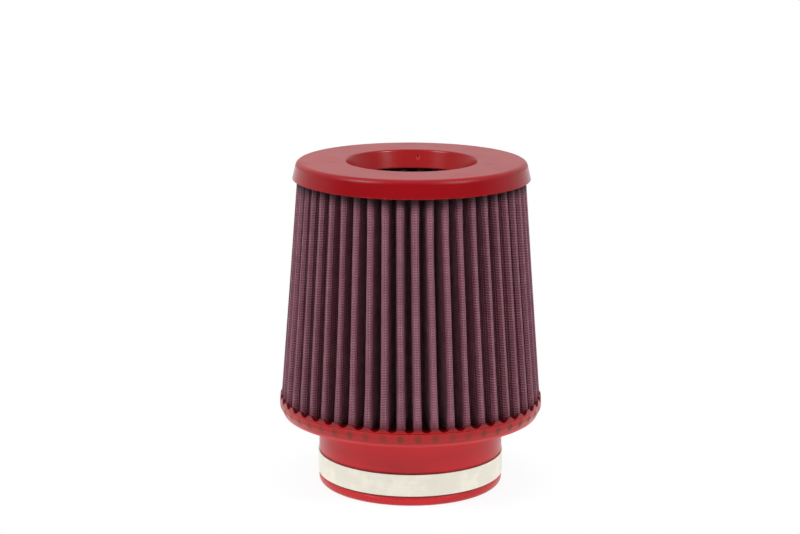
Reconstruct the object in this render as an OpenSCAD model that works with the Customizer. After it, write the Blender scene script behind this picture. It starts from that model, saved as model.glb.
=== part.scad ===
// Clamp-on cone air filter with an inverted second cone, all sizes in millimetres.
// The origin is the centre of the neck's open end, and +Z runs up the axis to the top cap.

/* [Neck] */
// Bore of the neck, the outside diameter of the pipe that it fits
neck_bore_d = 90; // [76:0.5:92]
// Wall of the neck at its bead
neck_wall = 5.9; // [4:0.1:7]
// Height of the neck below the base ring
neck_h = 39.6; // [30:0.1:60]
// Height of the bead at the neck's open end
bead_h = 4.6; // [3:0.1:7]
// How far the clamp's seat is sunk below the bead
seat_sink = 0.45; // [0.2:0.05:1]
// How far the neck above the seat is sunk below the bead
neck_sink = 0.1; // [0:0.05:0.4]
// Rounding of the bore's edge at the neck's open end
neck_round = 1.1; // [0.5:0.1:2]
// Rounding of the bead's lower edge, outside
bead_round = 2.7; // [0.5:0.1:3.5]

/* [Base ring] */
// Wall of the base ring outside the pleats
ring_lip = 0.7; // [0.6:0.1:3]
// Height of the base ring to the bottom of its scallops
ring_h = 8.2; // [6:0.1:12]
// How much smaller the ring's radius is at its underside
ring_draft = 1.8; // [0.5:0.1:3]
// How far the tongues stand above the scallops
tongue_h = 2.1; // [0.5:0.1:2.5]
// Radius of one scallop between two tongues
scallop_r = 3.3; // [2.5:0.1:4]
// Height of the fine line moulded round the rim, from the scallops down
rim_line_drop = 0.5; // [0.3:0.1:1.5]
// Depth of that line
rim_line_depth = 0.3; // [0.1:0.05:0.5]
// Radius of the flare from the neck's bore into the base ring
flare_r = 4; // [2:0.5:5]

/* [Top cap] */
// Height of the pleats between the scallops and the cap's underside
pleat_h = 122.4; // [80:0.2:200]
// Height of the cap
cap_h = 10.2; // [8:0.1:16]
// How far the cap reaches past the pleats at its widest
cap_lip = 2.4; // [1.5:0.1:6]
// Wall of the skirt's lower edge, outside the pleats
skirt_wall = 0.5; // [0.4:0.1:1.2]
// Draft of the cap's side
cap_draft = 1.6; // [0.5:0.1:3]
// Height of the chamfer under the cap's skirt
skirt_chamfer = 0.7; // [0.4:0.1:3]
// Rounding of the cap's outer edge
cap_round = 3; // [1:0.1:4]
// Diameter of the opening in the cap
hole_d = 71; // [62:0.5:74]
// Rounding of the opening's upper edge
hole_round = 1.2; // [0.5:0.1:2]
// How much the radius of the funnel narrows from the opening to its lip
funnel_draft = 2.6; // [1:0.1:4]
// Wall of the funnel's lip, inside the inner cone's pleats
funnel_wall = 2.1; // [1.8:0.1:4]
// Rounding of the funnel's lip
lip_round = 0.7; // [0.3:0.1:0.8]

/* [Pleated sheets] */
// Thickness of the cotton gauze
gauze_t = 0.8; // [0.6:0.05:1]
// Thickness of each wire mesh
mesh_t = 0.3; // [0.2:0.05:0.4]
// Gap between the gauze and a mesh
layer_gap = 0.05; // [0.03:0.01:0.1]
// Gap between the sheets and the moulding that holds them
pot_gap = 0.05; // [0.03:0.01:0.15]
// Radius of a fold, at the middle of the sheets
fold_r = 1.45; // [1.2:0.05:1.6]

/* [Outer cone] */
// Number of pleats
outer_count = 49; // [36:1:54]
// Radius over the folds at the base ring
outer_low_r = 71.8; // [68:0.1:80]
// Radius over the folds at the cap
outer_high_r = 62.4; // [60:0.1:70]
// Depth of the pleats at the base ring
outer_low_depth = 18; // [12:0.5:19]
// Depth of the pleats at the cap
outer_high_depth = 14.8; // [12:0.1:16]
// Angle of the first fold from the front
outer_turn = 3.2; // [0:0.1:7.2]
// Length of the sheets held in the base ring, below the scallops
outer_foot = 3.6; // [2:0.1:4]
// Length of the sheets held in the cap
outer_head = 4.6; // [3:0.1:5]

/* [Inner cone] */
// Number of pleats
inner_count = 24; // [16:1:24]
// Gap between the two cones' folds in the cap
cone_gap = 1.2; // [0.8:0.1:3]
// Radius over the folds at the plug
inner_low_r = 27.5; // [27:0.1:34]
// Depth of the pleats at the plug
inner_low_depth = 8.5; // [6:0.1:8.8]
// Angle of the first fold from the front
inner_turn = 0; // [0:0.1:15]
// Length of the inner cone between the cap and the plug
inner_h = 88; // [50:0.5:100]
// Length of the sheets held in the cap
inner_head = 3.6; // [2:0.1:4]
// Length of the sheets held in the plug
inner_foot = 4; // [3:0.1:6]

/* [Plug] */
// Thickness of the plug below the sheets
plug_floor = 3; // [2:0.1:6]
// Width of the plug beyond the folds
plug_lip = 1.8; // [1.2:0.1:3]
// Rounding of the plug's lower edge
plug_round = 2.4; // [1:0.1:3]

/* [Hose clamp] */
// Width of the strap
strap_w = 12; // [9:0.5:13]
// Thickness of the strap
strap_t = 0.8; // [0.5:0.05:1]
// Height of the strap's lower edge above the bead
strap_lift = 1.5; // [0.8:0.1:4]
// Gap between the strap and its neighbours
strap_gap = 0.05; // [0.03:0.01:0.1]
// Direction of the clamp's screw housing, from the front
clamp_turn = 180; // [90:5:270]
// Pitch of the screw and of the slots in the strap
slot_pitch = 3; // [2.5:0.1:4]
// Size of the two square tabs that lock the housing to the strap's fixed end
tab_w = 2; // [1.5:0.1:3]
// Width of a slot, along the strap
slot_w = 1.7; // [1.2:0.1:2]
// Length of a slot, across the strap
slot_l = 7; // [5:0.5:8]
// Angle at which the strap's tail ends past the housing
tail_turn = 42; // [20:2:60]
// Length of the screw housing, along the strap
housing_l = 15; // [13:0.5:18]
// Thickness of the housing's sheet
housing_t = 0.8; // [0.6:0.05:1]
// Radius over the screw's thread
worm_r = 3.9; // [3.5:0.1:4.2]
// Depth of the screw's thread
thread_depth = 0.9; // [0.6:0.1:1.2]
// Radius of the screw where it runs in the housing's ends
journal_r = 2.2; // [1.8:0.1:2.6]
// Running clearance of the screw
screw_gap = 0.08; // [0.04:0.01:0.1]
// Size of the screw's hexagon across its flats
hex_flats = 7; // [6:0.5:8]
// Height of the screw's hexagon
hex_h = 5; // [4:0.5:7]
// Width of the slot in the screw's head
driver_slot_w = 1.2; // [0.8:0.1:1.6]
// Depth of the slot in the screw's head
driver_slot_depth = 1.8; // [1:0.1:2.5]

/* [Hidden] */
$fn = 96;

// A little more than a surface needs, so that a cut goes right through it
over = 1;
// Chords along each outward fold and each inward fold
tip_steps = 3;
root_steps = 2;
// Turn from the front, -Y, to the direction that angles are measured from
front = -90;

neck_bore_r = neck_bore_d / 2;
bead_r = neck_bore_r + neck_wall;
seat_r = bead_r - seat_sink;
neck_r = bead_r - neck_sink;
seat_low = bead_h;
strap_low = bead_h + strap_lift;
seat_high = strap_low + strap_w + strap_lift / 2;

ring_r = outer_low_r + ring_lip;
scallop_z = neck_h + ring_h;
tongue_z = scallop_z + tongue_h;
outer_foot_z = scallop_z - outer_foot;

cap_low = scallop_z + pleat_h;
cap_top = cap_low + cap_h;
cap_r = outer_high_r + cap_lip;
hole_r = hole_d / 2;
lip_r = hole_r - funnel_draft;

sheet_t = gauze_t + 2 * (mesh_t + layer_gap);
gauze_off = gauze_t / 2;
mesh_low_off = gauze_off + layer_gap;
mesh_high_off = mesh_low_off + mesh_t;
pot_off = mesh_high_off + pot_gap;

plug_rim = cap_low - inner_h;
inner_foot_z = plug_rim - inner_foot;
plug_low = inner_foot_z - plug_floor;
plug_r = inner_low_r + plug_lip;
inner_foot_r = inner_low_r - inner_low_depth;
outer_root_r = outer_low_r - outer_low_depth;
// The raised rim inside the pleats is as wide as half a sheet
rim_in_r = outer_root_r - sheet_t / 2;

strap_r = seat_r + strap_gap;
strap_mid = strap_low + strap_w / 2;
floor_low_r = strap_r + strap_t + strap_gap;
floor_high_r = floor_low_r + housing_t;
tail_r = floor_high_r + strap_gap;
tail_rise = tail_r - strap_r;
worm_x = tail_r + strap_t + screw_gap + worm_r;
barrel_bore_r = worm_r + 2 * screw_gap;
barrel_r = barrel_bore_r + housing_t;
channel_x = tail_r + strap_t + housing_t / 2;
end_wall = 1.5 * housing_t;
collar_h = housing_t;
// Directions on the strap, measured from the housing's middle
fixed_end = 11;
// Angle of one chord of the strap
strap_step = 2.5;
ramp_low = 14;
ramp_high = 44;
slot_step = slot_pitch / tail_r * 180 / PI;

// One fold line of a cone: number of pleats, radius over the folds, radius inside them
outer_low = [outer_count, outer_low_r, outer_root_r];
outer_high = [outer_count, outer_high_r, outer_high_r - outer_high_depth];
inner_low = [inner_count, inner_low_r, inner_foot_r];
inner_high = [inner_count, outer_high[2] - cone_gap, lip_r + funnel_wall];

function turned(p, a) = [p.x * cos(a) - p.y * sin(a), p.x * sin(a) + p.y * cos(a)];

// Points of an arc, from direction a to direction b
function arc(centre, r, a, b, steps = 8) =
    [for (k = [0 : steps]) let (t = a + (b - a) * k / steps) centre + r * [cos(t), sin(t)]];

// Outline of a pleated sheet's surface, off outside its middle: round folds with straight flanks
function fold_line(folds, turn, off) =
    let (count = folds[0], half = 180 / count,
         tip_c = folds[1] - sheet_t / 2 - fold_r,
         root_c = folds[2] + sheet_t / 2 + fold_r,
         span = [root_c * cos(half) - tip_c, root_c * sin(half)],
         lean = atan2(span.y, span.x) - acos(2 * fold_r / norm(span)))
    [for (i = [0 : count - 1])
        let (tip = arc([tip_c, 0], fold_r + off, -lean, lean, tip_steps),
             root = arc([root_c, 0], fold_r - off, lean - half - 180, half - lean - 180, root_steps))
        each concat([for (p = tip) turned(p, front + turn + 2 * half * i)],
                    [for (p = root) turned(p, front + turn + 2 * half * i + half)])];

// Flat section of a pleated sheet between two distances from its middle
module pleat_section(folds, turn, in_off, out_off) {
    inside = fold_line(folds, turn, in_off);
    outside = fold_line(folds, turn, out_off);
    n = len(inside);
    polygon(concat(outside, inside), [[for (i = [0 : n - 1]) i], [for (i = [0 : n - 1]) n + i]]);
}

// Pleated sheet whose folds run straight from one outline to another
module pleat_loft(low, low_z, high, high_z, turn, in_off, out_off) {
    rings = [for (end = [[low, low_z], [high, high_z]], off = [out_off, in_off])
        [for (p = fold_line(end[0], turn, off)) [p.x, p.y, end[1]]]];
    n = len(rings[0]);
    quads = [for (i = [0 : n - 1]) let (j = (i + 1) % n) each [
        [i, j, 2 * n + j, 2 * n + i],
        [n + i, 3 * n + i, 3 * n + j, n + j],
        [2 * n + i, 2 * n + j, 3 * n + j, 3 * n + i],
        [n + i, n + j, j, i]]];
    polyhedron([for (ring = rings) each ring],
               [for (q = quads) each [[q[2], q[1], q[0]], [q[3], q[2], q[0]]]], convexity = 10);
}

// Whole pleated sheet: a straight foot and head in the mouldings, and the cone between them
module pleated_sheet(low, foot_z, low_z, high, high_z, head_z, turn, in_off, out_off) {
    translate([0, 0, foot_z]) linear_extrude(low_z - foot_z) pleat_section(low, turn, in_off, out_off);
    pleat_loft(low, low_z, high, high_z, turn, in_off, out_off);
    translate([0, 0, high_z]) linear_extrude(head_z - high_z) pleat_section(high, turn, in_off, out_off);
}

module outer_sheet(in_off, out_off)
    pleated_sheet(outer_low, outer_foot_z, tongue_z, outer_high, cap_low, cap_low + outer_head,
                  outer_turn, in_off, out_off);

module inner_sheet(in_off, out_off)
    pleated_sheet(inner_low, inner_foot_z, plug_rim, inner_high, cap_low, cap_low + inner_head,
                  inner_turn, in_off, out_off);

// Groove that a pleated sheet's end is moulded into
module pot_groove(folds, turn, low_z, high_z)
    translate([0, 0, low_z]) linear_extrude(high_z - low_z) pleat_section(folds, turn, -pot_off, pot_off);

// Round cutters lying between the pleats, which leave a tongue in front of each fold
module scallops() {
    step = 360 / outer_count;
    for (i = [0 : outer_count - 1])
        rotate([0, 0, front + outer_turn + step * (i + 0.5)])
            translate([outer_root_r + sheet_t + 2 * fold_r, 0, scallop_z + scallop_r])
                rotate([0, 90, 0]) cylinder(r = scallop_r, h = outer_low_depth, $fn = 32);
}

module base_profile() {
    low_r = ring_r - ring_draft;
    edge = ring_draft / 2;
    polygon(concat(
        arc([neck_bore_r + neck_round, neck_round], neck_round, 180, 270, 4),
        arc([bead_r - bead_round, bead_round], bead_round, 270, 360, 6),
        [[bead_r, seat_low - seat_sink], [seat_r, seat_low], [seat_r, seat_high],
         [neck_r, seat_high + seat_sink]],
        arc([neck_r + edge, neck_h - edge], edge, 180, 90, 3),
        arc([low_r - edge, neck_h + edge], edge, 270, 340, 3),
        [[ring_r, outer_foot_z],
         [ring_r, scallop_z - rim_line_drop - rim_line_depth],
         [ring_r - rim_line_depth, scallop_z - rim_line_drop],
         [ring_r, scallop_z - rim_line_drop + rim_line_depth],
         [ring_r - rim_line_depth, tongue_z],
         [rim_in_r, tongue_z], [rim_in_r, scallop_z]],
        arc([neck_bore_r + flare_r, scallop_z - flare_r], flare_r, 90, 180, 6)));
}

module base_moulding() color("firebrick") difference() {
    rotate_extrude() base_profile();
    pot_groove(outer_low, outer_turn, outer_foot_z, tongue_z + over);
    scallops();
}

module cap_profile() {
    top_r = cap_r - cap_draft;
    skirt_z = cap_low + skirt_chamfer;
    polygon(concat(
        arc([lip_r + lip_round, cap_low + lip_round], lip_round, 165, 270, 4),
        [[outer_high_r + skirt_wall, cap_low], [cap_r, skirt_z]],
        arc([top_r - cap_round, cap_top - cap_round], cap_round, 12, 90, 6),
        arc([hole_r + hole_round, cap_top - hole_round], hole_round, 90, 165, 4)));
}

module top_cap() color("firebrick") difference() {
    rotate_extrude() cap_profile();
    pot_groove(outer_high, outer_turn, cap_low - over, cap_low + outer_head);
    pot_groove(inner_high, inner_turn, cap_low - over, cap_low + inner_head);
}

module plug_profile() {
    well_r = inner_foot_r - plug_lip;
    polygon(concat(
        [[0, plug_low]],
        arc([plug_r - plug_round, plug_low + plug_round], plug_round, 270, 360, 6),
        [[plug_r, plug_rim], [well_r, plug_rim]],
        arc([well_r - plug_round, inner_foot_z + plug_round], plug_round, 0, -90, 6),
        [[0, inner_foot_z]]));
}

module cone_plug() color("firebrick") difference() {
    rotate_extrude() plug_profile();
    pot_groove(inner_low, inner_turn, inner_foot_z, plug_rim + over);
}

module outer_mesh_outside() color("dimgray") outer_sheet(mesh_low_off, mesh_high_off);
module outer_gauze() color("rosybrown") outer_sheet(-gauze_off, gauze_off);
module outer_mesh_inside() color("dimgray") outer_sheet(-mesh_high_off, -mesh_low_off);

module inner_mesh_outside() color("dimgray") inner_sheet(mesh_low_off, mesh_high_off);
module inner_gauze() color("rosybrown") inner_sheet(-gauze_off, gauze_off);
module inner_mesh_inside() color("dimgray") inner_sheet(-mesh_high_off, -mesh_low_off);

// Places the clamp's pieces: drawn with the housing towards +X, at the height of the strap
module at_clamp() rotate([0, 0, front + clamp_turn]) translate([0, 0, strap_mid]) children();

// Inside of the strap at direction a: it climbs from the neck to the tail's radius on a smooth ramp
function strap_in(a) =
    let (s = min(max((ramp_high - a) / (ramp_high - ramp_low), 0), 1))
    strap_r + tail_rise * s * s * (3 - 2 * s);

// Edge-on outline of the whole strap, from the end of its tail round to its fixed end
module strap_outline() {
    sweep = 360 + tail_turn + fixed_end;
    steps = ceil(sweep / strap_step);
    turns = [for (k = [0 : steps]) sweep * k / steps - tail_turn];
    polygon(concat(
        [for (a = turns) strap_in(a) * [cos(a), sin(a)]],
        [for (k = [steps : -1 : 0]) (strap_in(turns[k]) + strap_t) * [cos(turns[k]), sin(turns[k])]]));
}

// Slot through the strap at direction a, leaning with the screw's thread
module strap_slot(a) {
    lead = atan2(slot_pitch, 2 * PI * worm_r);
    rotate([0, 0, a]) translate([strap_in(a) + strap_t / 2, 0, 0]) rotate([lead, 0, 0])
        cube([strap_t + housing_t, slot_w, slot_l], center = true);
}

// Tabs that lock the housing to the strap's fixed end
module lock_tabs(grow) {
    size = tab_w + 2 * grow;
    for (side = [-1, 1])
        translate([(strap_r + floor_high_r) / 2, 0, side * strap_w / 4])
            cube([floor_high_r - strap_r, size, size], center = true);
}

module clamp_strap() color("lightgray") at_clamp() difference() {
    translate([0, 0, -strap_w / 2]) linear_extrude(strap_w) strap_outline();
    for (a = [-tail_turn + slot_step : slot_step : ramp_high + fixed_end]) strap_slot(a);
    intersection() {
        translate([-strap_t, 0, 0]) lock_tabs(strap_gap);
        cylinder(r = floor_low_r, h = strap_w, center = true);
    }
}

module clamp_housing() color("silver") at_clamp() difference() {
    union() {
        translate([worm_x, 0, 0]) rotate([90, 0, 0]) cylinder(r = barrel_r, h = housing_l, center = true);
        saddle_w = strap_w + 2 * (housing_t + strap_gap);
        translate([strap_r, -housing_l / 2, -saddle_w / 2])
            cube([channel_x + housing_t - strap_r, housing_l, saddle_w]);
    }
    difference() {
        cylinder(r = floor_low_r, h = 2 * strap_w, center = true);
        lock_tabs(0);
    }
    strap_channel();
    translate([worm_x, 0, 0]) rotate([90, 0, 0]) {
        cylinder(r = barrel_bore_r, h = housing_l - 2 * end_wall, center = true);
        cylinder(r = journal_r + screw_gap, h = housing_l + over, center = true);
    }
}

// Passage for the strap's tail through the housing
module strap_channel() difference() {
    w = strap_w + 2 * strap_gap;
    translate([strap_r, -housing_l, -w / 2]) cube([channel_x - strap_r, 2 * housing_l, w]);
    cylinder(r = floor_high_r, h = 2 * strap_w, center = true);
}

module clamp_screw() color("gainsboro") at_clamp() translate([worm_x, 0, 0]) rotate([-90, 0, 0]) {
    worm_l = housing_l - 2 * end_wall - 2 * screw_gap;
    head_z = housing_l / 2 + screw_gap;
    cylinder(r = worm_r - thread_depth, h = worm_l, center = true);
    translate([0, 0, -housing_l / 2]) cylinder(r = journal_r, h = housing_l / 2 + head_z);
    translate([0, 0, head_z]) cylinder(r = barrel_r - housing_t / 2, h = collar_h);
    translate([0, 0, head_z + collar_h]) difference() {
        cylinder(d = hex_flats / cos(30), h = hex_h, $fn = 6);
        translate([-hex_flats, -driver_slot_w / 2, hex_h - driver_slot_depth])
            cube([2 * hex_flats, driver_slot_w, driver_slot_depth + over]);
    }
}

base_moulding();
top_cap();
cone_plug();
outer_mesh_outside();
outer_gauze();
outer_mesh_inside();
inner_mesh_outside();
inner_gauze();
inner_mesh_inside();
clamp_strap();
clamp_housing();
clamp_screw();
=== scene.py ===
"""The looks of a cone air filter with an inverted inner cone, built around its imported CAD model."""

from math import acos, atan2, cos, hypot, pi, radians, sin

import bpy
import numpy as np
from mathutils import Matrix, Vector


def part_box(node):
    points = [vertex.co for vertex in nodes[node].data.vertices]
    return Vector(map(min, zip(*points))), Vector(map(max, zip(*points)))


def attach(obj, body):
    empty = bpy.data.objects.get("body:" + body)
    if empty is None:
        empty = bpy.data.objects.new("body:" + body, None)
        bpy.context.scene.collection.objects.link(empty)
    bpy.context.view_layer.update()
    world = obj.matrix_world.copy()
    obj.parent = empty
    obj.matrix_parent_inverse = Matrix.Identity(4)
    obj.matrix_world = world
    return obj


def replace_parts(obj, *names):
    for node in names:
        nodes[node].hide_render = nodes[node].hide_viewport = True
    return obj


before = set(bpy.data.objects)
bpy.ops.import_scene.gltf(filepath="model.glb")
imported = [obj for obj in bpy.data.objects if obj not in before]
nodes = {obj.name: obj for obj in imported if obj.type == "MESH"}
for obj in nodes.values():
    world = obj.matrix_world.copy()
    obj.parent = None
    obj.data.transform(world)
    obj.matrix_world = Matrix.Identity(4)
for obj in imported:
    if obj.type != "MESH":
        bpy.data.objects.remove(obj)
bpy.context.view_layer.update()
MM = 0.001
FRONT = -pi / 2                                # direction of the side that faces the camera


def foot_and_head(box):
    """Lowest and highest point of a box, in millimetres."""
    low, high = box
    return low.z / MM, high.z / MM


# Heights of the CAD pieces, in millimetres as all lengths up to the materials are.
FOOT_Z, HEAD_Z = foot_and_head(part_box("outer_gauze"))
INNER_FOOT_Z, INNER_HEAD_Z = foot_and_head(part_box("inner_gauze"))
RIM_Z = foot_and_head(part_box("base_moulding"))[1]              # top of the base ring's tongues
PLUG_RIM_Z = foot_and_head(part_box("cone_plug"))[1]
CAP_LOW_Z, CAP_TOP_Z = foot_and_head(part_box("top_cap"))
STRAP_LOW_Z, STRAP_TOP_Z = foot_and_head(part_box("clamp_strap"))
WORM_Z = sum(foot_and_head(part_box("clamp_housing"))) / 2       # the screw's axis

# The pleated sheets. They stand where the CAD sheets stand.
SHEET = 1.5                                    # gauze between its two meshes
FOLD_R = 1.45                                  # middle line of the sheet at a fold
GAUZE = (0.4, -0.4)                            # its two faces, off the sheet's middle
HIDDEN_MESH = (0.72, 0.48)                     # two faces of a mesh on the clean side
MESH_AT = 0.6                                  # middle of a wire, off the sheet's middle
WIRE_R = 0.13
PITCH = 1.4                                    # from wire to wire
BURIED = 3                                     # how far the wires run on into the mouldings
SHEET_STEPS = (6, 4)                           # chords round a fold's tip and round its root
RING_STEPS = (5, 3)                            # the same for the wires round the folds
FLANK_STEPS = 3                                # chords along a sheet's flank

# How hand-laid folds stray from even ones.
SWAY = 0.3                                     # to the side
BEND = 0.4                                     # share of the sway that bends to and fro
PINCH = 0.42                                   # share of its width that a fold loses at its tip
PINCH_VARIES = 0.06                            # more or less of it from fold to fold
BEFORE_ROOT = 0.6                              # share of a fold's points that the pinch moves


class Pleats:
    """One pleated cone: its count of folds, its radii over and inside them, low and high, and
    the heights z of its foot, of the mouldings between which it shows, and of its head."""

    def __init__(self, count, turn, twist, low, high, z, seed):
        self.count, self.turn, self.low, self.high = count, radians(turn), low, high
        self.twist = radians(twist)
        self.foot, self.low_z, self.high_z, self.head = z
        # The sway, drift, bend and press of each fold, which line() uses
        self.stray = np.random.default_rng(seed).uniform(-1, 1, (count, 4))

    def one_fold(self, over, inside, tip_steps, root_steps):
        """Middle line of one fold, tip at angle 0: points, outward normals and nearness to a tip."""
        half = pi / self.count
        tip_c = over - SHEET / 2 - FOLD_R
        root_c = inside + SHEET / 2 + FOLD_R
        span_x, span_y = root_c * cos(half) - tip_c, root_c * sin(half)
        lean = atan2(span_y, span_x) - acos(2 * FOLD_R / hypot(span_x, span_y))
        a = np.linspace(-lean, lean, tip_steps + 1)
        tip_n = np.stack([np.cos(a), np.sin(a)], 1)
        b = np.linspace(lean - half - pi, half - lean - pi, root_steps + 1) + half
        root_n = np.stack([np.cos(b), np.sin(b)], 1)
        points = np.concatenate([[tip_c, 0] + FOLD_R * tip_n,
                                 root_c * np.array([cos(half), sin(half)]) + FOLD_R * root_n])
        normals = np.concatenate([tip_n, -root_n])
        r = np.hypot(points[:, 0], points[:, 1])
        return points, normals, np.clip((r - inside) / (over - inside), 0, 1)

    def line(self, t, steps, flank, even=None):
        """The whole folded line at height t (0 low, 1 high) as points and normals. A fold has
        even points at equal distances, or else flank of them along each straight run."""
        low = self.one_fold(*self.low, *steps)
        high = self.one_fold(*self.high, *steps)
        p, n, w = (a + (b - a) * t for a, b in zip(low, high))
        turned = 2 * pi / self.count
        c, s = cos(turned), sin(turned)
        step = np.array([[c, s], [-s, c]])
        ends = [np.concatenate([a, b]) for a, b in ((p, p[:1] @ step), (n, n[:1] @ step),
                                                    (w, w[:1]))]
        at = np.arange(len(p) + 1.0)
        if even:
            length = np.concatenate([[0], np.cumsum(np.hypot(*np.diff(ends[0], axis=0).T))])
            want = np.interp(np.arange(even) / even * length[-1], length, at)
        else:
            runs = (steps[0], len(p) - 1)      # the straight runs after a tip and after a root
            want = np.concatenate([[i] if i not in runs else i + np.arange(flank) / flank
                                   for i in range(len(p))])
        low_i = np.minimum(want.astype(int), len(p) - 1)
        f = (want - low_i)[:, None]
        p, n = (e[low_i] * (1 - f) + e[low_i + 1] * f for e in ends[:2])
        w = ends[2][low_i] * (1 - f[:, 0]) + ends[2][low_i + 1] * f[:, 0]
        n /= np.hypot(n[:, 0], n[:, 1])[:, None]
        before_root = np.arange(len(p)) < len(p) * BEFORE_ROOT
        points, normals = [], []
        for i, (sway, drift, bend, press) in enumerate(self.stray):
            a = FRONT + self.turn + self.twist * t + turned * i
            aside = SWAY * sin(pi * t) * (sway + drift * cos(pi * t)
                                          + BEND * bend * sin(3 * pi * t))
            pinch = (PINCH + PINCH_VARIES * press) * (1 - (2 * t - 1) ** 6)
            moved = p + np.outer(w * w * (aside - pinch * p[:, 1] * before_root), [0, 1])
            rot = np.array([[cos(a), sin(a)], [-sin(a), cos(a)]])
            points.append(moved @ rot)
            normals.append(n @ rot)
        return np.concatenate(points), np.concatenate(normals)

    def grid(self, heights, steps, flank=1, even=None):
        """Points (height, along, xyz) and normals of the sheet's middle."""
        rows, sides = [], []
        for z in heights:
            t = min(max((z - self.low_z) / (self.high_z - self.low_z), 0), 1)
            p, n = self.line(t, steps, flank, even)
            rows.append(np.column_stack([p, np.full(len(p), z)]))
            sides.append(np.column_stack([n, np.zeros(len(n))]))
        return np.stack(rows), np.stack(sides)

    def heights(self, count):
        """The foot, count heights from the lower moulding to the upper one, and the head."""
        return [self.foot, *np.linspace(self.low_z, self.high_z, count), self.head]


OUTER = Pleats(count=49, turn=3.2, twist=-1.5, low=(71.8, 53.8), high=(62.4, 47.6),
               z=(FOOT_Z, RIM_Z, CAP_LOW_Z, HEAD_Z), seed=11)
INNER = Pleats(count=24, turn=0, twist=0, low=(27.5, 19.0), high=(46.4, 35.0),
               z=(INNER_FOOT_Z, PLUG_RIM_Z, CAP_LOW_Z, INNER_HEAD_Z), seed=23)


def mesh_piece(name, verts, faces, finish, body, uv=None):
    """A smooth mesh object that rides on a body, its vertices given in millimetres."""
    mesh = bpy.data.meshes.new(name)
    mesh.from_pydata((np.asarray(verts, float) * MM).tolist(), [], np.asarray(faces).tolist())
    mesh.shade_smooth()
    mesh.materials.append(finish)
    if uv is not None:
        layer = mesh.uv_layers.new(name="cloth")
        corner = np.empty(len(mesh.loops), int)
        mesh.loops.foreach_get("vertex_index", corner)
        layer.data.foreach_set("uv", np.asarray(uv)[corner].astype(np.float32).ravel())
    obj = bpy.data.objects.new(name, mesh)
    bpy.context.scene.collection.objects.link(obj)
    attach(obj, body)
    return obj


def quads(rows, columns, start=0, flip=False):
    """Faces of a grid of vertices, rows by columns, its columns running round in a ring."""
    i, j = np.meshgrid(np.arange(rows - 1), np.arange(columns), indexing="ij")
    k = (j + 1) % columns
    faces = np.stack([i * columns + j, i * columns + k, (i + 1) * columns + k,
                      (i + 1) * columns + j], -1).reshape(-1, 4) + start
    return faces[:, ::-1] if flip else faces


def pleated_sheet(name, pleats, replaced, finish, rows, sides):
    """A closed pleated sheet between two offsets from the middle, such as the cotton gauze. Its
    UV map is the sheet laid flat, in metres."""
    heights = pleats.heights(rows)
    mid, side = pleats.grid(heights, SHEET_STEPS, flank=FLANK_STEPS)
    count, around = mid.shape[:2]
    outer, inner = (mid + side * d for d in sides)
    verts = np.concatenate([outer.reshape(-1, 3), inner.reshape(-1, 3)])
    n = count * around
    j = np.arange(around)
    k = (j + 1) % around
    last = n - around
    ends = [np.stack([j, n + j, n + k, k], -1),
            np.stack([last + j, last + k, n + last + k, n + last + j], -1)]
    faces = np.concatenate([quads(count, around), quads(count, around, n, flip=True), *ends])
    along = np.concatenate([[0], np.cumsum(np.linalg.norm(np.diff(mid[count // 2], axis=0),
                                                          axis=1))])
    flat = np.stack(np.broadcast_arrays(along[None, :], np.array(heights)[:, None]), -1) * MM
    uv = np.concatenate([flat.reshape(-1, 2)] * 2)
    piece = mesh_piece(name, verts, faces, finish, "filter", uv)
    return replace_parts(piece, replaced)


def tubes(mid, across, up, closed, sides=3):
    """Wires along each row of mid, their section drawn on the directions across and up."""
    count, along = mid.shape[:2]
    ring = [mid + WIRE_R * (cos(2 * pi * k / sides) * across + sin(2 * pi * k / sides) * up)
            for k in range(sides)]
    verts = np.stack(ring, 2).reshape(-1, 3)
    i, j, k = np.meshgrid(np.arange(count), np.arange(along if closed else along - 1),
                          np.arange(sides), indexing="ij")

    def vertex(step, corner):
        return (i * along + step % along) * sides + corner % sides

    faces = np.stack([vertex(j, k), vertex(j + 1, k), vertex(j + 1, k + 1), vertex(j, k + 1)],
                     -1)
    return verts, faces.reshape(-1, 4)


def wire_rings(name, pleats, replaced, finish, low, high, off):
    """The wires that run round the folds, from height low to height high."""
    count = round((high - low) / PITCH)
    heights = low + (np.arange(count) + 0.5) * (high - low) / count
    mid, side = pleats.grid(heights, RING_STEPS)
    up = np.zeros_like(side)
    up[..., 2] = 1
    verts, faces = tubes(mid + off * side, side, up, closed=True)
    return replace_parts(mesh_piece(name, verts, faces, finish, "filter"), replaced)


def wire_uprights(name, pleats, replaced, finish, off, rows):
    """The wires that run along the folds from the lower moulding to the upper one."""
    spread = np.hypot(*np.diff(pleats.line(0.5, SHEET_STEPS, 1)[0], axis=0).T).sum()
    per_fold = round(spread / pleats.count / PITCH)
    mid, side = pleats.grid(pleats.heights(rows), SHEET_STEPS, even=per_fold)
    mid, side = (a.transpose(1, 0, 2) for a in (mid, side))
    along = np.stack([-side[..., 1], side[..., 0], side[..., 2]], -1)
    verts, faces = tubes(mid + off * side, side, along, closed=False)
    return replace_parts(mesh_piece(name, verts, faces, finish, "filter"), replaced)


# Materials. Lengths on their sockets are in metres, as the object's own coordinates are.

def mm(*lengths):
    """Millimetres turned into metres."""
    return [length * MM for length in lengths]


def feed(tree, socket, value):
    """A source linked to a socket, or a plain value set on it."""
    if isinstance(value, bpy.types.NodeSocket):
        tree.links.new(value, socket)
    else:
        socket.default_value = value


def shade(tree, kind, inputs=None, **settings):
    """One node, with settings on it and values or sources on its sockets."""
    made = tree.nodes.new(kind)
    for key, value in settings.items():
        setattr(made, key, value)
    for key, value in (inputs or {}).items():
        feed(tree, made.inputs[key], value)
    return made


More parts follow.
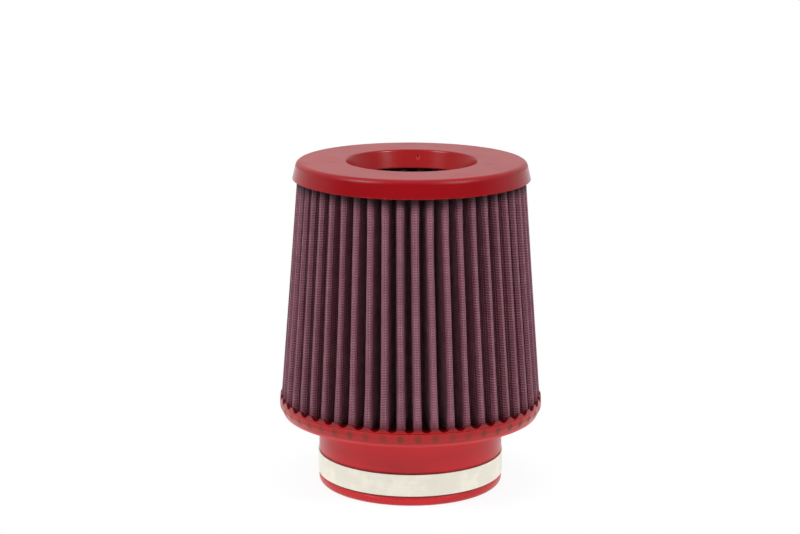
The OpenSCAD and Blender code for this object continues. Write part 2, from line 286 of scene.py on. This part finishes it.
def maths(tree, operation, *values):
    """One Math node, on values or sources."""
    return shade(tree, "ShaderNodeMath", dict(enumerate(values)), operation=operation).outputs[0]


def product(tree, first, *others):
    """All the masks given, multiplied."""
    for other in others:
        first = maths(tree, "MULTIPLY", first, other)
    return first


def between(tree, value, low, high, to_low=0.0, to_high=1.0):
    """value read smoothly from the range low..high into to_low..to_high."""
    return shade(tree, "ShaderNodeMapRange",
                 {"Value": value, "From Min": low, "From Max": high,
                  "To Min": to_low, "To Max": to_high},
                 interpolation_type="SMOOTHSTEP").outputs[0]


def band(tree, value, low, high, soft):
    """1 where value lies between low and high, with soft edges."""
    return product(tree, between(tree, value, low - soft, low + soft),
                   between(tree, value, high - soft, high + soft, 1, 0))


def spot(tree, cloud, *ways):
    """1 in the middle of a round spot and 0 outside, from (distance, half size) pairs."""
    total = maths(tree, "MULTIPLY", maths(tree, "SUBTRACT", cloud, 0.5), 0.9)
    for distance, half in ways:
        share = maths(tree, "DIVIDE", distance, half)
        total = maths(tree, "ADD", total, maths(tree, "MULTIPLY", share, share))
    return between(tree, total, 0.5, 1.5, 1, 0)


def mixed(tree, factor, a, b):
    """Colour a where factor is 0, colour b where it is 1."""
    made = shade(tree, "ShaderNodeMix", {0: factor, 6: a, 7: b}, data_type="RGBA")
    return made.outputs[2]


def level(tree, factor, a, b):
    """Number a where factor is 0, number b where it is 1."""
    return shade(tree, "ShaderNodeMix", {0: factor, 2: a, 3: b}, data_type="FLOAT").outputs[0]


def painted(tree, under, *layers):
    """The colour under with (mask, tint) layers laid over it one by one."""
    for mask, tint in layers:
        under = mixed(tree, mask, under, tint)
    return under


def noise(tree, at, scale, detail=3.0, rough=0.5):
    """Soft clouds about 0.5, with scale of them to a metre."""
    return shade(tree, "ShaderNodeTexNoise",
                 {"Vector": at, "Scale": scale, "Detail": detail, "Roughness": rough}).outputs[0]


def colour(r, g, b):
    """A colour given as it looks on a screen, 0 to 255."""
    def lit(v):
        v /= 255
        return v / 12.92 if v <= 0.04045 else ((v + 0.055) / 1.055) ** 2.4
    return (lit(r), lit(g), lit(b), 1.0)


def group(name, inputs, outputs):
    """An empty node group with its sockets: (tree, inputs by name, sink node)."""
    tree = bpy.data.node_groups.new(name, "ShaderNodeTree")
    for socket, kind, default in inputs:
        made = tree.interface.new_socket(socket, in_out="INPUT", socket_type=kind)
        if default is not None:
            made.default_value = default
    for socket, kind in outputs:
        tree.interface.new_socket(socket, in_out="OUTPUT", socket_type=kind)
    return tree, tree.nodes.new("NodeGroupInput").outputs, tree.nodes.new("NodeGroupOutput")


def use(tree, of, **inputs):
    """A node group placed in a material, with its own values. Returns its outputs."""
    made = tree.nodes.new("ShaderNodeGroup")
    made.node_tree = of
    for key, value in inputs.items():
        feed(tree, made.inputs[key.capitalize()], value)
    return made.outputs


def material(name, **plain):
    """A new material with a Principled shader whose plain values are given by socket name."""
    made = bpy.data.materials.new(name)
    made.use_nodes = True
    shader = made.node_tree.nodes["Principled BSDF"]
    for key, value in plain.items():
        shader.inputs[key.replace("_", " ")].default_value = value
    return made, made.node_tree, shader


def bump(tree, shader, height, strength, distance):
    """Fine relief on a shader's Normal. distance is how high it stands, in metres."""
    made = shade(tree, "ShaderNodeBump",
                 {"Height": height, "Strength": strength, "Distance": distance})
    tree.links.new(made.outputs[0], shader.inputs["Normal"])


def place(tree):
    """The place on the object, in metres."""
    return shade(tree, "ShaderNodeTexCoord").outputs["Object"]


def cloth_place(tree):
    """The place on a sheet laid flat, in metres."""
    return shade(tree, "ShaderNodeTexCoord").outputs["UV"]


def split(tree, at):
    """A point's X, Y and Z."""
    return shade(tree, "ShaderNodeSeparateXYZ", {"Vector": at}).outputs


def round_parts(tree, at):
    """(angle about the axis, radius, height) of a point."""
    xyz = split(tree, at)
    angle = maths(tree, "ARCTAN2", xyz["Y"], xyz["X"])
    radius = maths(tree, "POWER", maths(tree, "ADD", maths(tree, "MULTIPLY", xyz["X"], xyz["X"]),
                                        maths(tree, "MULTIPLY", xyz["Y"], xyz["Y"])), 0.5)
    return angle, radius, xyz["Z"]


def cast_surface_group():
    """The skin of the cast polyurethane: clouds of slightly different red, haze and ripple."""
    tree, given, out = group(
        "cast polyurethane skin",
        [("Vector", "NodeSocketVector", None), ("Deep", "NodeSocketColor", (0.1, 0, 0, 1)),
         ("Light", "NodeSocketColor", (0.5, 0, 0, 1)), ("Gloss", "NodeSocketFloat", 0.2),
         ("Haze", "NodeSocketFloat", 0.12)],
        [("Colour", "NodeSocketColor"), ("Roughness", "NodeSocketFloat"),
         ("Height", "NodeSocketFloat")])
    at = given["Vector"]
    clouds = noise(tree, at, 24, 3, 0.5)
    specks = noise(tree, at, 700, 2, 0.6)
    cloud = maths(tree, "ADD", between(tree, clouds, 0.3, 0.7, 0, 0.9),
                  between(tree, specks, 0.62, 0.8, 0, 0.1))
    tree.links.new(mixed(tree, cloud, given["Deep"], given["Light"]), out.inputs["Colour"])
    smears = between(tree, noise(tree, at, 60, 4, 0.6), 0.45, 0.75)
    tree.links.new(maths(tree, "ADD", given["Gloss"],
                         maths(tree, "MULTIPLY", smears, given["Haze"])),
                   out.inputs["Roughness"])
    ripple = maths(tree, "ADD", maths(tree, "MULTIPLY", noise(tree, at, 90, 1), 0.95),
                   maths(tree, "MULTIPLY", specks, 0.05))
    tree.links.new(ripple, out.inputs["Height"])
    return tree


def thread_group():
    """Cotton threads over and under each other on a plane, from coordinates in metres."""
    tree, given, out = group(
        "woven threads",
        [("Vector", "NodeSocketVector", None), ("Pitch", "NodeSocketFloat", 0.0006)],
        [("Height", "NodeSocketFloat"), ("Hollow", "NodeSocketFloat"), ("Fuzz", "NodeSocketFloat")])
    uv = split(tree, given["Vector"])
    fuzz = noise(tree, given["Vector"], 2600, 3, 0.7)
    wave = []
    for axis in ("X", "Y"):
        turn = maths(tree, "MULTIPLY", maths(tree, "DIVIDE", uv[axis], given["Pitch"]), pi)
        wave.append((maths(tree, "SINE", turn), maths(tree, "COSINE", turn)))
    warp = maths(tree, "MULTIPLY", maths(tree, "ABSOLUTE", wave[0][0]),
                 maths(tree, "ADD", 0.7, maths(tree, "MULTIPLY", wave[1][1], 0.3)))
    weft = maths(tree, "MULTIPLY", maths(tree, "ABSOLUTE", wave[1][0]),
                 maths(tree, "SUBTRACT", 0.7, maths(tree, "MULTIPLY", wave[0][1], 0.3)))
    high = maths(tree, "MAXIMUM", warp, weft)
    tree.links.new(maths(tree, "ADD", high, maths(tree, "MULTIPLY", fuzz, 0.4)),
                   out.inputs["Height"])
    tree.links.new(between(tree, high, 0.25, 0.75, 1, 0), out.inputs["Hollow"])
    tree.links.new(fuzz, out.inputs["Fuzz"])
    return tree


def brushed_group():
    """Fine lines of a brushed or drawn metal, along the second axis of the coordinates given."""
    tree, given, out = group(
        "brushed metal lines",
        [("Vector", "NodeSocketVector", None), ("Lines", "NodeSocketFloat", 9000.0),
         ("Gloss", "NodeSocketFloat", 0.25)],
        [("Value", "NodeSocketFloat"), ("Roughness", "NodeSocketFloat"),
         ("Height", "NodeSocketFloat")])
    parts = split(tree, given["Vector"])
    stretched = shade(tree, "ShaderNodeCombineXYZ",
                      {"X": maths(tree, "MULTIPLY", parts["X"], given["Lines"]),
                       "Y": maths(tree, "MULTIPLY", parts["Y"], 60.0),
                       "Z": maths(tree, "MULTIPLY", parts["Z"], given["Lines"])}).outputs[0]
    lines = noise(tree, stretched, 1.0, 4, 0.65)
    stains = noise(tree, given["Vector"], 90, 3, 0.55)
    tree.links.new(maths(tree, "ADD", between(tree, lines, 0.3, 0.7, 0, 0.45),
                         between(tree, stains, 0.42, 0.62, 0, 0.55)), out.inputs["Value"])
    tree.links.new(maths(tree, "ADD", given["Gloss"],
                         maths(tree, "MULTIPLY", maths(tree, "ADD", lines, stains), 0.1)),
                   out.inputs["Roughness"])
    tree.links.new(lines, out.inputs["Height"])
    return tree


CAST = cast_surface_group()
THREADS = thread_group()
BRUSHED = brushed_group()


def polyurethane(name, deep, light, gloss, haze, marks=None, specular=0.4, ripple=0.35):
    """Soft red cast polyurethane. marks draws further colours over the cast one, and tells where
    the surface is duller."""
    made, tree, shader = material(name, IOR=1.5, Specular_IOR_Level=specular)
    at = place(tree)
    skin = use(tree, CAST, vector=at, deep=deep, light=light, gloss=gloss, haze=haze)
    shown, dull = marks(tree, at, skin["Colour"]) if marks else (skin["Colour"], 0.0)
    tree.links.new(shown, shader.inputs["Base Color"])
    tree.links.new(maths(tree, "ADD", skin["Roughness"], dull), shader.inputs["Roughness"])
    bump(tree, shader, skin["Height"], ripple, 0.0002)
    return made


RING_FROM_Z = (38.5, 40.5)     # where the neck's lighter red, painted bounce light, turns into the ring's deeper red
RING_HIGHLIGHT_Z = (40.2, 41.2)     # painted highlight along the ring's lower edge
SPOT_Z = 44.4                  # middle of the brown spots on the ring
SPOT_HIGH = 2.2                # half their height
SPOT_WIDE = 0.2                # half their width, as a share of the way from fold to fold
SPOT_R = (68, 70)              # spots are seen only outside this
TONGUE_Z = (RIM_Z - 2.4, RIM_Z - 0.9)          # the tongues darken over this height
TONGUE_WIDE = (0.2, 0.3)       # half a tongue's width, as a share again
SHADE_BETWEEN_R = (71.2, 72.7)          # painted shade lies inside this, between the tongues
SHADE_BETWEEN_Z = (44, 45.5)            # and above this
SHADED_NECK_Z = 36               # painted shade: the neck is darker red from the strap up to here


def base_marks(tree, at, under):
    """The ring's deeper red beside the neck's lighter red, which is painted bounce light, and a
    painted highlight on the ring's lower edge; its brown spots and thin tongues where the folds show
    through;
    painted shade between the folds and on the neck above the strap; the bead's deeper red under the
    strap; and painted shadow along the strap's edges."""
    angle, radius, height = round_parts(tree, at)
    cloud = noise(tree, at, 420, 3, 0.6)
    patch = noise(tree, at, 48, 2, 0.5)
    turn = maths(tree, "DIVIDE", maths(tree, "SUBTRACT", angle, FRONT + OUTER.turn),
                 2 * pi / OUTER.count)
    off = maths(tree, "SUBTRACT", turn, maths(tree, "ROUND", turn))
    # the ring's own deeper red; the neck keeps the base's lighter red, which is painted bounce light
    ring = between(tree, height, *mm(*RING_FROM_Z))
    # painted highlight: a bright red band on the ring's lower edge
    ring_highlight = band(tree, height, *mm(*RING_HIGHLIGHT_Z, 0.3))
    spots = product(tree, spot(tree, cloud, (off, SPOT_WIDE),
                               (maths(tree, "SUBTRACT", height, SPOT_Z * MM), SPOT_HIGH * MM)),
                    between(tree, radius, *mm(*SPOT_R)),
                    between(tree, patch, 0.38, 0.6, 0.55, 0.85))
    tongue = product(tree, between(tree, height, *mm(*TONGUE_Z)),
                     between(tree, maths(tree, "ABSOLUTE", off), *TONGUE_WIDE, 1, 0))
    # painted shade: dark red between the tongues, down among the folds
    shade_between_tongues = product(tree, between(tree, radius, *mm(*SHADE_BETWEEN_R), 1, 0),
                   between(tree, height, *mm(*SHADE_BETWEEN_Z)),
                   between(tree, tongue, 0.1, 0.6, 0.95, 0.3))
    # painted shadow: a dark line on the neck along the strap's top edge, which is also a little
    # rougher
    shadow_above_strap = product(tree, band(tree, height, *mm(STRAP_TOP_Z - 0.3, STRAP_TOP_Z + 0.6, 0.2)),
                          between(tree, cloud, 0.3, 0.6, 0.6, 0.9))
    # painted shade: the neck is darker red just above the strap, fading upward
    shaded_low_neck = product(tree, between(tree, height, *mm(STRAP_TOP_Z, SHADED_NECK_Z), 0.4, 0),
                        between(tree, height, *mm(STRAP_TOP_Z - 0.5, STRAP_TOP_Z)))
    bead = between(tree, height, *mm(STRAP_LOW_Z, STRAP_LOW_Z + 0.5), 0.5, 0)
    # painted shadow: a dark red band just under the strap's lower edge
    shadow_below_strap = band(tree, height, *mm(STRAP_LOW_Z - 1.1, STRAP_LOW_Z + 0.4, 0.4))
    shown = painted(tree, under, (ring, colour(161, 4, 8)), (spots, colour(106, 32, 8)),
                    (product(tree, tongue, 0.85), colour(94, 28, 35)),
                    (product(tree, ring_highlight, 0.8), colour(220, 32, 38)),
                    (shade_between_tongues, colour(92, 2, 12)), (shadow_above_strap, colour(64, 26, 26)),
                    (shaded_low_neck, colour(150, 10, 20)), (bead, colour(166, 12, 22)),
                    (product(tree, shadow_below_strap, 0.75), colour(104, 2, 14)))
    return shown, product(tree, maths(tree, "MAXIMUM", spots, shadow_above_strap), 0.25)


FUNNEL_R = (36.2, 37.2)        # the funnel's wall lies inside this
FUNNEL_LIP = (-0.9, -0.3)      # and below this, down from the cap's top
TOP_R = (35.3, 36.2)           # the matt upper face lies outside this
TOP_LIP = (-3, -1.5)
SKIRT_R = (58.5, 60.5)         # the skirt lies outside this
SKIRT_LIP = (-1.5, -0.8)
BACK_Y = (20, 30)              # the funnel's back wall, seen from the front
BACK_R = (36, 38)
GATE_MARK = ((3.6, 176.2, 1.1, (168, 50, 44)),     # (x, z, half width, colour): its pale halo
             (3.4, 177.1, 0.5, (96, 8, 14)))       # and its dark middle


def cap_marks(tree, at, under):
    """The small gate mark of the mould on the back wall of the funnel, painted light on the funnel's
    wall, the skirt's deeper red, which is painted shade, a painted highlight along its lower edge,
    and the matt upper face."""
    xyz = split(tree, at)
    cloud = noise(tree, at, 600, 2, 0.5)
    _, radius, height = round_parts(tree, at)

    def below_top(lip, *levels):
        """A mask that changes at a lip, whose two heights count from the cap's top."""
        return between(tree, height, *mm(CAP_TOP_Z + lip[0], CAP_TOP_Z + lip[1]), *levels)

    back = product(tree, between(tree, xyz["Y"], *mm(*BACK_Y)),
                   between(tree, radius, *mm(*BACK_R), 1, 0))
    # the funnel's wall: its lighter red is painted light, and it is a little rougher
    funnel = product(tree, between(tree, radius, *mm(*FUNNEL_R), 1, 0),
                     below_top(FUNNEL_LIP, 1, 0))
    # painted shade: the skirt is given a darker red, against the haze of its reflections
    skirt = product(tree, between(tree, radius, *mm(*SKIRT_R)), below_top(SKIRT_LIP, 1, 0))
    # painted highlight: a paler red along the skirt's lower edge
    lower_edge_highlight = between(tree, height, *mm(CAP_LOW_Z + 0.4, CAP_LOW_Z + 0.9), 1, 0)
    top = product(tree, between(tree, radius, *mm(*TOP_R)), below_top(TOP_LIP, 0, 0.18))
    gate = []
    for x, z, half, tint in GATE_MARK:
        mark = spot(tree, cloud, (maths(tree, "SUBTRACT", xyz["X"], x * MM), half * MM),
                    (maths(tree, "SUBTRACT", height, z * MM), 1.5 * half * MM))
        gate.append((product(tree, mark, back), colour(*tint)))
    shown = painted(tree, under, (funnel, colour(154, 26, 28)), *gate,
                    (product(tree, skirt, 0.5), colour(122, 0, 8)),
                    (product(tree, lower_edge_highlight, 0.6), colour(190, 72, 66)))
    return shown, maths(tree, "MAXIMUM", product(tree, funnel, 0.06), top)


FOLD_SHADE_DEPTH = (0.2, 3.4)         # painted shade darkens the folds from here to here, in from their tips
FOOT_SHADE_RISE = (0.5, 6)            # and painted shade at their feet fades over this height above the ring
CAP_SHADOW_DROP = (-8, -1)                # painted shadow of the cap thickens over this height, up toward the cap


def painted_fold_shade(tree, at, under, shade_tint):
    """The outer cone's colour with painted shade deep between the folds and at their feet, and
    painted shadow under the cap."""
    _, radius, height = round_parts(tree, at)
    slope = (OUTER.low[0] - OUTER.high[0]) / (OUTER.high_z - OUTER.low_z)
    tip = maths(tree, "SUBTRACT", (OUTER.low[0] + slope * OUTER.low_z) * MM,
                maths(tree, "MULTIPLY", height, slope))
    # painted shade, deeper in from the fold tips and near the fold feet
    depth = between(tree, maths(tree, "SUBTRACT", tip, radius), *mm(*FOLD_SHADE_DEPTH), 0, 0.5)
    foot = between(tree, height, *mm(RIM_Z + FOOT_SHADE_RISE[0], RIM_Z + FOOT_SHADE_RISE[1]), 0.6, 0)
    # painted shadow under the cap
    cap_shadow = between(tree, height, *mm(CAP_LOW_Z + CAP_SHADOW_DROP[0], CAP_LOW_Z + CAP_SHADOW_DROP[1]), 0, 0.9)
    return painted(tree, under, (maths(tree, "MAXIMUM", depth, foot), shade_tint),
                   (cap_shadow, colour(56, 26, 36)))


def gauze_material(name, deep, light, outer=False):
    """Oiled cotton gauze between wire meshes: woven, fuzzy, darker in its hollows."""
    made, tree, shader = material(name, Sheen_Weight=0.15, Sheen_Roughness=0.5, IOR=1.4)
    threads = use(tree, THREADS, vector=cloth_place(tree), pitch=0.0007)
    at = place(tree)
    oil = between(tree, noise(tree, at, 45, 4, 0.6), 0.35, 0.7)
    fuzz = between(tree, threads["Fuzz"], 0.35, 0.65)
    mix = maths(tree, "ADD", maths(tree, "MULTIPLY", oil, 0.45),
                maths(tree, "MULTIPLY", fuzz, 0.55))
    shown = painted(tree, mixed(tree, mix, deep, light),
                    (product(tree, threads["Hollow"], 0.6), colour(48, 14, 26)))
    # the outer cone gets painted shade deep in its folds and at their feet, and painted shadow under
    # the cap
    if outer:
        shown = painted_fold_shade(tree, at, shown, colour(98, 10, 32))
    tree.links.new(shown, shader.inputs["Base Color"])
    tree.links.new(between(tree, oil, 0, 1, 0.62, 0.85), shader.inputs["Roughness"])
    bump(tree, shader, threads["Height"], 0.6, 0.0002)
    return made


def wire_material(name, metal, film, outer=False):
    """Fine wire under a film of red filter oil."""
    made, tree, shader = material(name, Metallic=0.25)
    at = place(tree)
    oil = between(tree, noise(tree, at, 160, 4, 0.6), 0.3, 0.7)
    glint = between(tree, noise(tree, at, 1500, 2, 0.6), 0.35, 0.7)
    shown = mixed(tree, maths(tree, "ADD", maths(tree, "MULTIPLY", oil, 0.7),
                              maths(tree, "MULTIPLY", glint, 0.3)), film, metal)
    # the outer cone gets painted shade deep in its folds and at their feet, and painted shadow under
    # the cap
    if outer:
        shown = painted_fold_shade(tree, at, shown, colour(100, 28, 46))
    tree.links.new(shown, shader.inputs["Base Color"])
    tree.links.new(between(tree, oil, 0, 1, 0.55, 0.35), shader.inputs["Roughness"])
    bump(tree, shader, glint, 0.3, 0.00005)
    return made


def hidden_mesh_material(name):
    """A wire mesh on the clean side: its wires drawn over the gauze that it backs."""
    made, tree, shader = material(name)
    uv = split(tree, cloth_place(tree))
    waves = [maths(tree, "ABSOLUTE", maths(tree, "SINE", maths(tree, "MULTIPLY", uv[axis],
                                                               pi / (PITCH * MM))))
             for axis in ("X", "Y")]
    wires = between(tree, maths(tree, "MINIMUM", *waves), 0.2, 0.42, 1, 0)
    fuzz = noise(tree, place(tree), 1400, 3, 0.7)
    shown = painted(tree, mixed(tree, fuzz, colour(70, 22, 36), colour(130, 60, 76)),
                    (wires, colour(176, 168, 166)))
    tree.links.new(shown, shader.inputs["Base Color"])
    tree.links.new(maths(tree, "MULTIPLY", wires, 0.7), shader.inputs["Metallic"])
    tree.links.new(between(tree, wires, 0, 1, 0.85, 0.4), shader.inputs["Roughness"])
    bump(tree, shader, maths(tree, "ADD", wires, maths(tree, "MULTIPLY", fuzz, 0.3)), 0.7, 0.0002)
    return made


HOOP_R = 0.05                  # about the strap's radius, which turns an angle into a length


def steel(name, tint, gloss, hoop=False):
    """Steel with fine lines, which run round the axis on a hoop such as the strap."""
    made, tree, shader = material(name, Metallic=1.0)
    at = place(tree)
    if hoop:
        angle, radius, height = round_parts(tree, at)
        at = shade(tree, "ShaderNodeCombineXYZ",
                   {"X": height, "Y": maths(tree, "MULTIPLY", angle, HOOP_R),
                    "Z": radius}).outputs[0]
    lines = use(tree, BRUSHED, vector=at, lines=5200.0, gloss=gloss)
    dark = tuple(c * 0.84 for c in tint[:3]) + (1.0,)
    tree.links.new(mixed(tree, lines["Value"], dark, tint), shader.inputs["Base Color"])
    tree.links.new(lines["Roughness"], shader.inputs["Roughness"])
    bump(tree, shader, lines["Height"], 0.12, 0.00005)
    return made


# The base's red is lighter than the ring's: painted bounce light from the floor on the neck.
red_base = polyurethane("red polyurethane of the base", colour(204, 18, 29), colour(216, 26, 36),
                        gloss=0.28, haze=0.1, marks=base_marks)
red_cap = polyurethane("red polyurethane of the cap", colour(136, 10, 18), colour(148, 14, 23),
                       gloss=0.18, haze=0.04, marks=cap_marks, specular=0.2, ripple=0.15)
red_plug = polyurethane("red polyurethane of the plug", colour(162, 14, 24),
                        colour(176, 20, 28), gloss=0.3, haze=0.1)
outer_cloth = gauze_material("oiled gauze of the outer cone", colour(118, 58, 75),
                             colour(160, 95, 112), outer=True)
inner_cloth = gauze_material("oiled gauze of the inner cone", colour(90, 40, 54),
                             colour(130, 76, 88))
wire = wire_material("wire under filter oil", colour(176, 138, 153), colour(142, 96, 113),
                     outer=True)
wire_clean = wire_material("wire of the inner cone", colour(160, 140, 142),
                           colour(120, 86, 96))
strap_steel = steel("stainless strap", colour(250, 244, 229), gloss=0.24, hoop=True)
housing_steel = steel("pressed stainless housing", colour(214, 210, 202), gloss=0.22)
clean_side = hidden_mesh_material("wire mesh of the clean side")
screw_steel = steel("zinc plated screw", colour(206, 204, 196), gloss=0.26)

for node, made in (("base_moulding", red_base), ("top_cap", red_cap), ("cone_plug", red_plug),
                   ("clamp_strap", strap_steel), ("clamp_housing", housing_steel),
                   ("clamp_screw", screw_steel)):
    for slot in nodes[node].material_slots:
        slot.material = made

# The filter's own pieces, in millimetres again.
MIDDLE_Z = (OUTER.low_z + OUTER.high_z) / 2

pleated_sheet("outer_gauze_cloth", OUTER, "outer_gauze", outer_cloth, 26, GAUZE)
pleated_sheet("inner_gauze_cloth", INNER, "inner_gauze", inner_cloth, 16, GAUZE)
pleated_sheet("outer_mesh_clean_side", OUTER, "outer_mesh_inside", clean_side, 12,
              [-d for d in HIDDEN_MESH[::-1]])
pleated_sheet("inner_mesh_clean_side", INNER, "inner_mesh_inside", clean_side, 10,
              HIDDEN_MESH)
wire_rings("outer_mesh_rings_low", OUTER, "outer_mesh_outside", wire, OUTER.low_z - BURIED,
           MIDDLE_Z, MESH_AT)
wire_rings("outer_mesh_rings_high", OUTER, "outer_mesh_outside", wire, MIDDLE_Z,
           OUTER.high_z + BURIED, MESH_AT)
wire_uprights("outer_mesh_uprights", OUTER, "outer_mesh_outside", wire, MESH_AT, 7)
wire_rings("inner_mesh_rings", INNER, "inner_mesh_outside", wire_clean, INNER.low_z - BURIED,
           INNER.high_z + BURIED, -MESH_AT)
wire_uprights("inner_mesh_uprights", INNER, "inner_mesh_outside", wire_clean, -MESH_AT, 5)


def screw_thread():
    """The raised thread of the worm, one turn for each slot of the strap. It runs out at both
    ends, and passes through the housing along X."""
    axis_y = 56.98
    crest, root, pitch, half_length = 3.85, 2.95, 3.0, 6.0
    foot_wide, crest_wide = 0.8, 0.3
    steps, run_out = 32, 6
    section = [(root, -foot_wide), (crest, -crest_wide), (crest, crest_wide), (root, foot_wide)]
    count = steps * 2 * half_length / pitch
    verts = []
    for i in range(int(count) + 1):
        a = 2 * pi * i / steps
        x0 = -half_length + pitch * i / steps
        fade = min(1, i / run_out, (count - i) / run_out)
        for r, dx in section:
            r = root + (r - root) * fade
            x = min(max(x0 + dx, -half_length), half_length)
            verts.append((x, axis_y + r * cos(a), WORM_Z + r * sin(a)))
    faces = quads(len(verts) // len(section), len(section))
    mesh_piece("screw_thread", verts, faces, screw_steel, "screw")


screw_thread()

# Floor, light and camera, in metres.

WORLD_LEVEL = 0.25             # light from all round
ROOM_LEVEL = 0.25              # what reflections show where the white paper ends
FLOOR_WHITE_Y = (-0.45, -0.95)     # where the floor's white falls off in reflections
WORLD_WHITE_Y = (0.2, -0.5)        # the same for the world, as a direction
SHADOW_REACH = (0.045, 0.09)   # where the object's shadow fades into white paper
FLOOR_HALF = 20


def toward_front(tree, at, near, far):
    """1 on the white paper, falling smoothly to ROOM_LEVEL from near to far along -Y."""
    return between(tree, split(tree, at)["Y"], far, near, ROOM_LEVEL, 1.0)


def studio_floor():
    """Pale paper: white to the camera away from the object, keeping its shadow close by, and
    clear to a camera below it."""
    made, tree, shader = material("pale studio floor", Roughness=0.9)
    at = place(tree)
    tree.links.new(mixed(tree, noise(tree, at, 3, 2), (0.9, 0.9, 0.9, 1), (0.94, 0.94, 0.94, 1)),
                   shader.inputs["Base Color"])
    reach = shade(tree, "ShaderNodeVectorMath", {0: at}, operation="LENGTH").outputs["Value"]
    path = shade(tree, "ShaderNodeLightPath").outputs
    white = maths(tree, "MULTIPLY", path["Is Camera Ray"],
                  between(tree, reach, *SHADOW_REACH, 0.88, 1))
    lit = maths(tree, "MAXIMUM", white, path["Is Glossy Ray"])
    strength = level(tree, path["Is Glossy Ray"], 1.0, toward_front(tree, at, *FLOOR_WHITE_Y))
    glow = shade(tree, "ShaderNodeEmission", {"Strength": strength}).outputs[0]
    both = shade(tree, "ShaderNodeMixShader", {0: lit, 1: shader.outputs[0], 2: glow})
    below = maths(tree, "MULTIPLY", path["Is Camera Ray"],
                  shade(tree, "ShaderNodeNewGeometry").outputs["Backfacing"])
    clear = shade(tree, "ShaderNodeBsdfTransparent").outputs[0]
    seen = shade(tree, "ShaderNodeMixShader", {0: below, 1: both.outputs[0], 2: clear})
    tree.links.new(seen.outputs[0], tree.nodes["Material Output"].inputs["Surface"])
    mesh = bpy.data.meshes.new("studio_floor")
    s = FLOOR_HALF
    mesh.from_pydata([(-s, -s, 0), (s, -s, 0), (s, s, 0), (-s, s, 0)], [], [(0, 1, 2, 3)])
    mesh.materials.append(made)
    obj = bpy.data.objects.new("studio_floor", mesh)
    bpy.context.scene.collection.objects.link(obj)


def white_world():
    """White to the camera and in reflections, and a plain level of light on everything else."""
    world = bpy.data.worlds.new("white studio")
    bpy.context.scene.world = world
    world.use_nodes = True
    tree = world.node_tree
    path = shade(tree, "ShaderNodeLightPath").outputs
    way = shade(tree, "ShaderNodeTexCoord").outputs["Generated"]
    seen = maths(tree, "MAXIMUM", path["Is Camera Ray"], path["Is Transmission Ray"])
    glossy = level(tree, path["Is Glossy Ray"], WORLD_LEVEL,
                   toward_front(tree, way, *WORLD_WHITE_Y))
    background = tree.nodes["Background"]
    background.inputs["Color"].default_value = (1, 1, 1, 1)
    tree.links.new(level(tree, seen, glossy, 1.0), background.inputs["Strength"])


def softbox(name, place_at, aim, size, power):
    """A rectangular lamp turned toward a point."""
    lamp = bpy.data.lights.new(name, "AREA")
    lamp.shape = "RECTANGLE"
    lamp.size, lamp.size_y = size
    lamp.energy = power
    obj = bpy.data.objects.new(name, lamp)
    obj.location = place_at
    obj.rotation_euler = (Vector(aim) - Vector(place_at)).to_track_quat("-Z", "Y").to_euler()
    bpy.context.scene.collection.objects.link(obj)


def photo_camera():
    """The photograph's viewpoint: in front and above, looking a little down, a long lens."""
    eye = (0, -1.1144, 0.3688)
    yaw, pitch, roll = radians(-0.315), radians(-12.539), radians(0.2)
    forward = Vector((sin(yaw) * cos(pitch), cos(yaw) * cos(pitch), sin(pitch)))
    right = Vector((cos(yaw), -sin(yaw), 0))
    up = right.cross(forward)
    across = right * cos(roll) + up * sin(roll)
    upward = -right * sin(roll) + up * cos(roll)
    camera = bpy.data.cameras.new("photo camera")
    camera.sensor_width, camera.lens = 36, 93.6      # millimetres
    camera.clip_start, camera.clip_end = 0.05, 60
    obj = bpy.data.objects.new("photo_camera", camera)
    turned = Matrix((across, upward, -forward)).transposed().to_4x4()
    turned.translation = eye
    obj.matrix_world = turned
    bpy.context.scene.collection.objects.link(obj)
    bpy.context.scene.camera = obj


MID_HEIGHT = (0, 0, 0.1)

studio_floor()
white_world()
softbox("left softbox", (-1.1, -0.7, 1.25), MID_HEIGHT, size=(0.5, 0.6), power=22)
softbox("right softbox", (1.1, -0.85, 1.25), MID_HEIGHT, size=(0.5, 0.6), power=20)
softbox("top softbox", (0, -0.2, 1.5), MID_HEIGHT, size=(1.0, 1.0), power=2)
photo_camera()
bpy.context.scene.view_settings.view_transform = "Standard"
